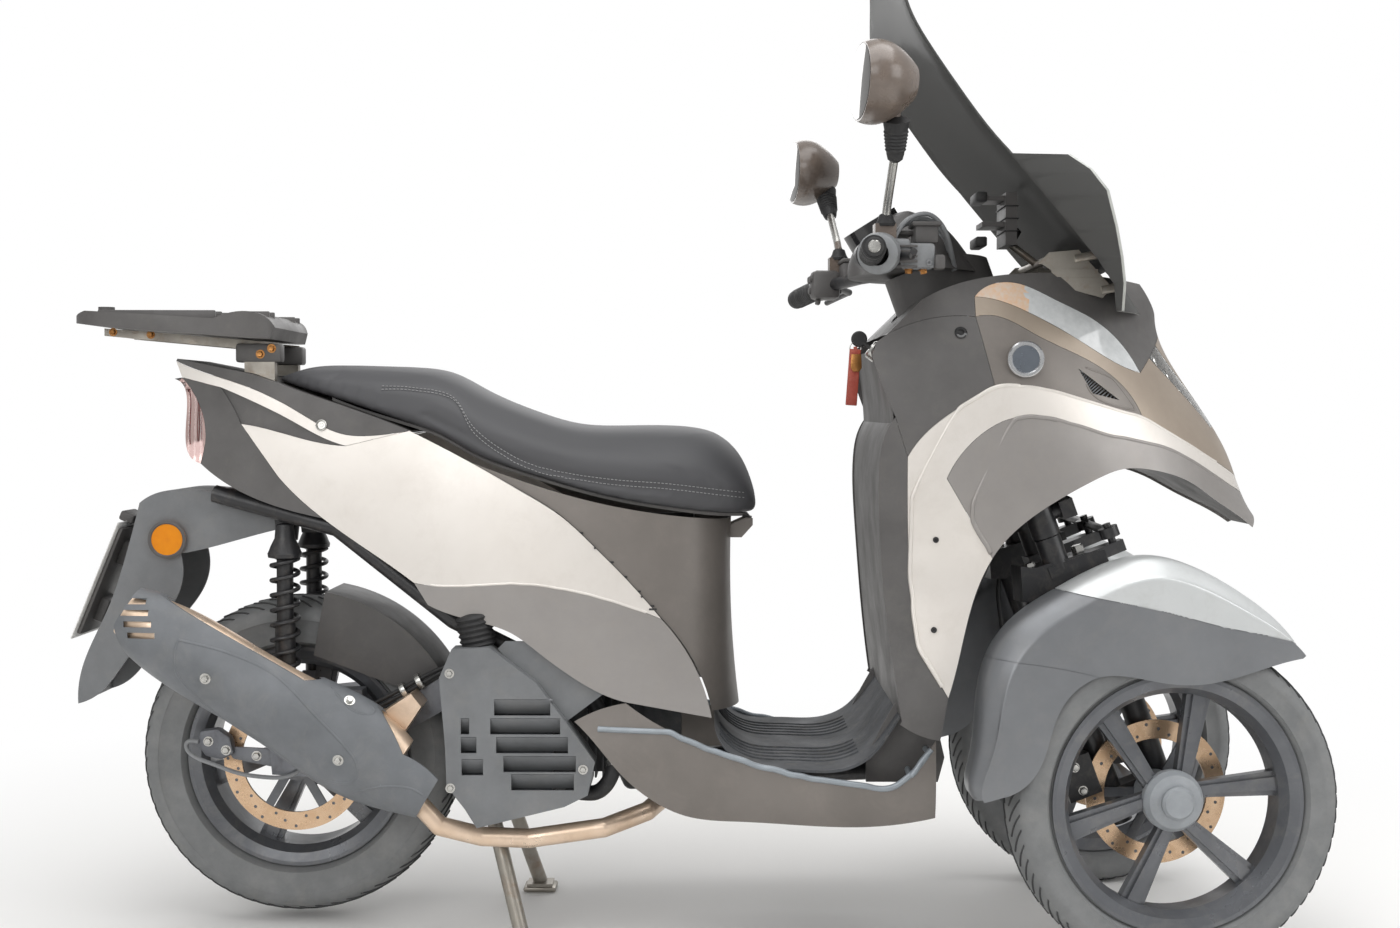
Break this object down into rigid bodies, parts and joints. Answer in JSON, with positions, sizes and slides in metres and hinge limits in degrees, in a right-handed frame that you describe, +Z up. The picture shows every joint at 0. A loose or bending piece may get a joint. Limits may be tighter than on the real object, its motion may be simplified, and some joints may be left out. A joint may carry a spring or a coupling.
{
  "type": "leaning three-wheeled scooter",
  "caption": "Leaning scooter with two steered front wheels and one driven rear wheel, tall screen, saddle over a storage tub, rear carrier, on its centre stand.",
  "frame": {"origin": "on the floor, under the middle of the whole vehicle's length and width", "axes": "+X forward, +Y to the rider's left, +Z up"},
  "size_m": [1.9532, 0.826, 1.59],
  "materials": {
    "silver_paint": "satin light silver",
    "dark_paint": "satin dark grey metallic",
    "bronze_paint": "satin warm grey metallic",
    "black_plastic": "grained",
    "gloss_black": "gloss",
    "frame_paint": "satin black",
    "cast_metal": "cast",
    "wheel_paint": "satin dark grey",
    "stainless": "heat tinted",
    "steel": "plain",
    "tyre_rubber": "worn",
    "grip_rubber": "ribbed",
    "saddle_leather": "grained synthetic",
    "lamp_glass": "clear",
    "red_lens": "red lens",
    "orange_lens": "ribbed lens",
    "screen_sheet": "smoked clear sheet"
  },
  "bodies": {
    "root": {"frame": "frame_paint", "lean_arms": "frame_paint", "nose_cowl": "bronze_paint", "headlamps": "lamp_glass", "lamp_strips": "lamp_glass", "emblem_panels": "dark_paint", "front_covers": "silver_paint", "arch_covers": "dark_paint", "dash_sides": "black_plastic", "top_cowl": "black_plastic", "nose_liner": "black_plastic", "leg_shield": "black_plastic", "floorboard": "black_plastic", "floor_sills": "dark_paint", "base_panel": "black_plastic", "side_covers": "silver_paint", "lower_covers": "dark_paint", "tail_sides": "black_plastic", "tail_cover": "black_plastic", "tail_lamp": "red_lens", "rear_mudguard": "black_plastic", "reflectors": "orange_lens", "carrier_bracket": "steel", "carrier_plate": "black_plastic", "storage_tub": "black_plastic", "windscreen": "screen_sheet", "screen_brackets": "steel", "phone_holder": "black_plastic", "engine": "cast_metal", "drive_case": "cast_metal", "right_arm": "cast_metal", "rear_shocks": "frame_paint", "radiator": "cast_metal", "radiator_shroud": "black_plastic", "exhaust": "stainless", "muffler_guard": "black_plastic", "rear_hugger": "black_plastic"},
    "handlebar": {"steering_stem": "frame_paint", "handlebar": "frame_paint", "grips": "grip_rubber", "levers": "frame_paint", "handlebar_cover": "black_plastic", "meter": "gloss_black", "mirrors": "black_plastic"},
    "fork_left": {"fork_holder_left": "frame_paint", "fork_legs_left": "frame_paint", "fender_left": "dark_paint"},
    "fork_right": {"fork_holder_right": "frame_paint", "fork_legs_right": "frame_paint", "fender_right": "dark_paint"},
    "wheel_front_left": {"rim_left": "wheel_paint", "tyre_left": "tyre_rubber"},
    "wheel_front_right": {"rim_right": "wheel_paint", "tyre_right": "tyre_rubber"},
    "wheel_rear": {"rim_rear": "wheel_paint", "tyre_rear": "tyre_rubber"},
    "track_rod": {"track_rod": "frame_paint"},
    "saddle": {"saddle": "saddle_leather", "saddle_pan": "black_plastic"},
    "stand": {"stand": "steel"}
  },
  "joints": [
    {"name": "steer", "type": "hinge", "parent": "root", "child": "handlebar", "pos_m": [0.793, 0, 0], "axis": [-0.342, 0, 0.9397], "range_deg": [-37.6, 26.4]},
    {"name": "kingpin_left", "type": "hinge", "parent": "root", "child": "fork_left", "pos_m": [0.793, 0.158, 0.00261], "axis": [-0.342, 0, 0.9397], "range_deg": [-37.6, 26.4]},
    {"name": "front_left_wheel_spin", "type": "hinge", "parent": "fork_left", "child": "wheel_front_left", "pos_m": [0.71784, 0.23674, 0.25], "axis": [-0.0917, 0.9952, -0.0334], "continuous": true},
    {"name": "kingpin_right", "type": "hinge", "parent": "root", "child": "fork_right", "pos_m": [0.793, -0.158, -0.00253], "axis": [-0.342, 0, 0.9397], "range_deg": [-37.6, 26.4]},
    {"name": "front_right_wheel_spin", "type": "hinge", "parent": "fork_right", "child": "wheel_front_right", "pos_m": [0.73196, -0.23252, 0.25], "axis": [-0.0917, 0.9952, -0.0334], "continuous": true},
    {"name": "track_rod_pin", "type": "hinge", "parent": "handlebar", "child": "track_rod", "pos_m": [0.65748, 0.00927, 0.64877], "axis": [-0.342, 0, 0.9397], "range_deg": [-26.4, 37.6]},
    {"name": "rear_wheel_spin", "type": "hinge", "parent": "root", "child": "wheel_rear", "pos_m": [-0.625, 0, 0.273], "axis": [0, 1, 0], "continuous": true},
    {"name": "saddle_hinge", "type": "hinge", "parent": "root", "child": "saddle", "pos_m": [0.103, 0, 0.654], "axis": [0, 1, 0], "range_deg": [0, 60]},
    {"name": "stand_fold", "type": "hinge", "parent": "root", "child": "stand", "pos_m": [-0.307, 0, 0.196], "axis": [0, 1, 0], "range_deg": [0, 80]}
  ],
  "couplings": [
    {"joint": "kingpin_left", "follows": "steer", "ratio": 1},
    {"joint": "kingpin_right", "follows": "steer", "ratio": 1},
    {"joint": "track_rod_pin", "follows": "steer", "ratio": -1}
  ]
}
